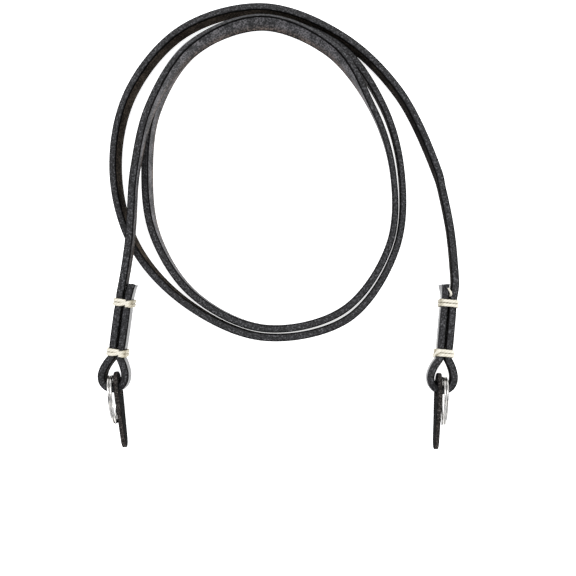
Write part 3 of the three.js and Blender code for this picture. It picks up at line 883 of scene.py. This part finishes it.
split_rings = {end["name"]: make_ring(end) for end in ENDS}
print("ring spans", [round(v / MM, 1) for v in split_rings["left"].dimensions], "mm")

# %% [markdown]
# ## Guard leather
# The guards are punched from a softer leather, 1.6 mm thick. Their cut rim shows warm grey flecks of fibre,
# and their two faces are nearly black, dull and finely pebbled.

# %% Guard material
def guard_leather():
    material, shader = new_material("cowhide_punched_black", {"IOR": 1.45})
    place = add_node(material, "TexCoord").outputs["Object"]
    rim = add_node(material, "Attribute", {"attribute_name": "edge"}).outputs["Fac"]
    pebbles = add_node(material, "TexNoise", {"Scale": 1 / (0.5 * MM), "Detail": 4, "Roughness": 0.65},
                       {"Vector": place}).outputs["Fac"]
    clouds = add_node(material, "TexNoise", {"Scale": 1 / (4 * MM), "Detail": 3}, {"Vector": place})
    pores = add_node(material, "TexVoronoi", {"Scale": 1 / (0.6 * MM)}, {"Vector": place})
    cut = add_node(material, "ValToRGB", {"stops": [(0.36, "0b0a0a"), (0.52, "292624"), (0.68, "68625f")]},
                   {"Fac": pebbles}).outputs["Color"]
    face = add_node(material, "ValToRGB", {"stops": [(0.3, "030303"), (0.7, "0f0f10")]},
                    {"Fac": clouds.outputs["Fac"]}).outputs["Color"]
    rim_share = add_node(material, "ValToRGB", {"stops": [(0.25, 0.0), (0.6, 1.0)]},
                         {"Fac": rim}).outputs["Color"]
    colour = add_node(material, "Mix", {"data_type": "RGBA"}, {0: rim_share, 6: face, 7: cut}).outputs[2]
    join(material, colour, shader.inputs["Base Color"])
    sheen = add_node(material, "Mix", {"data_type": "FLOAT", 2: 0.02, 3: 0.12}, {0: rim_share}).outputs[0]
    join(material, sheen, shader.inputs["Specular IOR Level"])
    rough = add_node(material, "Mix", {"data_type": "FLOAT", 2: 0.8, 3: 0.7}, {0: rim_share}).outputs[0]
    rough = add_node(material, "Math", {"operation": "MULTIPLY_ADD", 1: 0.15}, {0: pebbles, 2: rough})
    join(material, rough.outputs[0], shader.inputs["Roughness"])
    relief_of(material, shader, 0.07 * MM, 0.7, pebbles, (pores.outputs["Distance"], 0.6))
    return material


GUARD_LEATHER = guard_leather()
print(GUARD_LEATHER.name, "with", len(GUARD_LEATHER.node_tree.nodes), "nodes")

# %% [markdown]
# ## The guards
# A guard is a tongue that tapers from a round head to a round tip, with one slot. Blender's own 2D curve
# makes such a plate in one go: an outline and a hole, given a thickness and a round bevel. It is turned to
# a mesh, and each point is told how near it is to the rim.

# %% Punch the guards
GUARD_BEVEL = 0.35 * MM
SLOT_CORNER = 0.6 * MM


def guard_outline():
    head, tip = GUARD_WIDTH / 2 - GUARD_BEVEL, GUARD_TIP_WIDTH / 2 - GUARD_BEVEL
    head_x = -(LACE_THICKNESS + SLOT_SLACK) / 2 - GUARD_MARGIN + GUARD_WIDTH / 2
    tip_x = head_x - GUARD_WIDTH / 2 + GUARD_LENGTH - GUARD_TIP_WIDTH / 2
    side = math.pi / 2 - math.asin((head - tip) / (tip_x - head_x))
    angles = [side + (2 * math.pi - 2 * side) * k / 28 for k in range(29)]
    points = [(head_x + head * math.cos(a), head * math.sin(a)) for a in angles]
    angles = [-side + 2 * side * k / 20 for k in range(21)]
    return points + [(tip_x + tip * math.cos(a), tip * math.sin(a)) for a in angles]


def make_guard(end):
    swing, lean = math.radians(end["swing"]), math.radians(end["lean"])
    between = (RING_DEPTH + GUARD_THICKNESS) / 2 + CLEARANCE
    crossing = crossing_of(end, end["ring_offset"] - between / (math.cos(swing) * math.cos(lean)))
    turning, place, slot_height = stand_at(end, place_at(end, *crossing), 0, 0, GUARD_THICKNESS / 2)
    rim = [Vector((x, y + GUARD_WIDTH / 2)) for x, y in guard_outline()]
    slot_x = (LACE_THICKNESS + SLOT_SLACK) / 2 + GUARD_BEVEL
    slot_y = (LACE_WIDTH + SLOT_HEADROOM) / 2 + GUARD_BEVEL
    slot = [p + Vector((0, slot_height)) for p in round_rectangle(slot_x, slot_y, SLOT_CORNER, 4, 1)]
    foot = GUARD_THICKNESS / 2 - GUARD_BEVEL
    curve = bpy.data.curves.new("guard_cutter", "CURVE")
    curve.dimensions, curve.fill_mode = "2D", "BOTH"
    curve.extrude, curve.bevel_depth, curve.bevel_resolution = foot, GUARD_BEVEL, 3
    for points in (rim, slot):
        spline = curve.splines.new("POLY")
        spline.points.add(len(points) - 1)
        for point, where in zip(spline.points, points):
            point.co = (*where, 0, 1)
        spline.use_cyclic_u = True
    cutter = bpy.data.objects.new("guard_cutter", curve)
    mesh = bpy.data.meshes.new_from_object(cutter)
    bpy.data.objects.remove(cutter)
    shares = [min(1, max(0, 1 - (abs(v.co.z) - foot) / GUARD_BEVEL)) for v in mesh.vertices]
    mesh.transform(Matrix.Translation(place) @ turning.to_4x4())
    mesh.attributes.new("edge", "FLOAT", "POINT").data.foreach_set("value", shares)
    mesh.materials.clear()
    mesh.materials.append(GUARD_LEATHER)
    piece = placed("guard_tab_" + end["name"], mesh)
    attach(piece, "root")
    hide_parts("guard_" + end["name"])
    return piece


guards = {end["name"]: make_guard(end) for end in ENDS}
print("guard spans", [round(v / MM, 1) for v in guards["left"].dimensions], "mm")

# %% [markdown]
# The lace is a flat cord that is seen from end to end, so its whole length is on the table. Its path is
# the line that it was swept along.

print("declared", round(LACE_LENGTH, 3), "m of lace")

# %% [markdown]
# ## Table and light
# The photograph was taken on a white table in soft daylight, without shadows. A white acrylic sheet that
# is lit a little from below, as on a product photographer's table, and a bright white tent give that.
# The tent is open at the top, where the camera looks in, so polished metal mirrors a dark round there.

# %% Table
TABLE_HALF = 3


def table_top():
    material, shader = new_material("opal_acrylic_lit", {"Roughness": 0.9, "Specular IOR Level": 0.2,
                                                         "Emission Strength": 0.8})
    place = add_node(material, "TexCoord").outputs["Object"]
    mottle = add_node(material, "TexNoise", {"Scale": 1 / (60 * MM), "Detail": 2}, {"Vector": place})
    colour = add_node(material, "ValToRGB", {"stops": [(0.3, "f4f4f5"), (0.7, "f8f8f8")]},
                      {"Fac": mottle.outputs["Fac"]}).outputs["Color"]
    join(material, colour, shader.inputs["Base Color"])
    mesh = bpy.data.meshes.new("table")
    corners = [(x * TABLE_HALF, y * TABLE_HALF, 0) for x, y in ((-1, -1), (1, -1), (1, 1), (-1, 1))]
    mesh.from_pydata(corners, [], [(0, 1, 2, 3)])
    mesh.materials.append(material)
    table = placed("table", mesh)
    return table


table = table_top()
print("table top at z", table.location.z)


# %% Lights
def soft_light(name, place, size, power, colour="ffffff"):
    data = bpy.data.lights.new(name, "AREA")
    data.shape, data.size, data.energy, data.color = "DISK", size, power, linear(colour)[:3]
    light = placed(name, data)
    light.location = place
    light.rotation_euler = (-Vector(place)).to_track_quat("-Z", "Y").to_euler()
    return light


far_lamp = soft_light("far lamp", (-0.5, 1.5, 1.5), 1.2, 24)
window = soft_light("window", (1.6, -0.4, 1.2), 1.2, 16, "fdfbf6")
room = bpy.data.worlds.new("white_room")
room.use_nodes = True
way = add_node(room, "TexCoord").outputs["Generated"]
height = add_node(room, "SeparateXYZ", (), {"Vector": way}).outputs["Z"]
walls = add_node(room, "ValToRGB", {"stops": [(0.02, "b9babd"), (0.25, "dcdde0"), (0.5, "f6f7fa"),
                                              (0.88, "f6f7fa"), (0.96, "232325")]},
                 {"Fac": height}).outputs["Color"]
background = room.node_tree.nodes["Background"]
background.inputs["Strength"].default_value = 1.15
join(room, walls, background.inputs["Color"])
bpy.context.scene.world = room
bpy.context.scene.view_settings.view_transform = "Standard"
print("lights", far_lamp.name, "and", window.name)
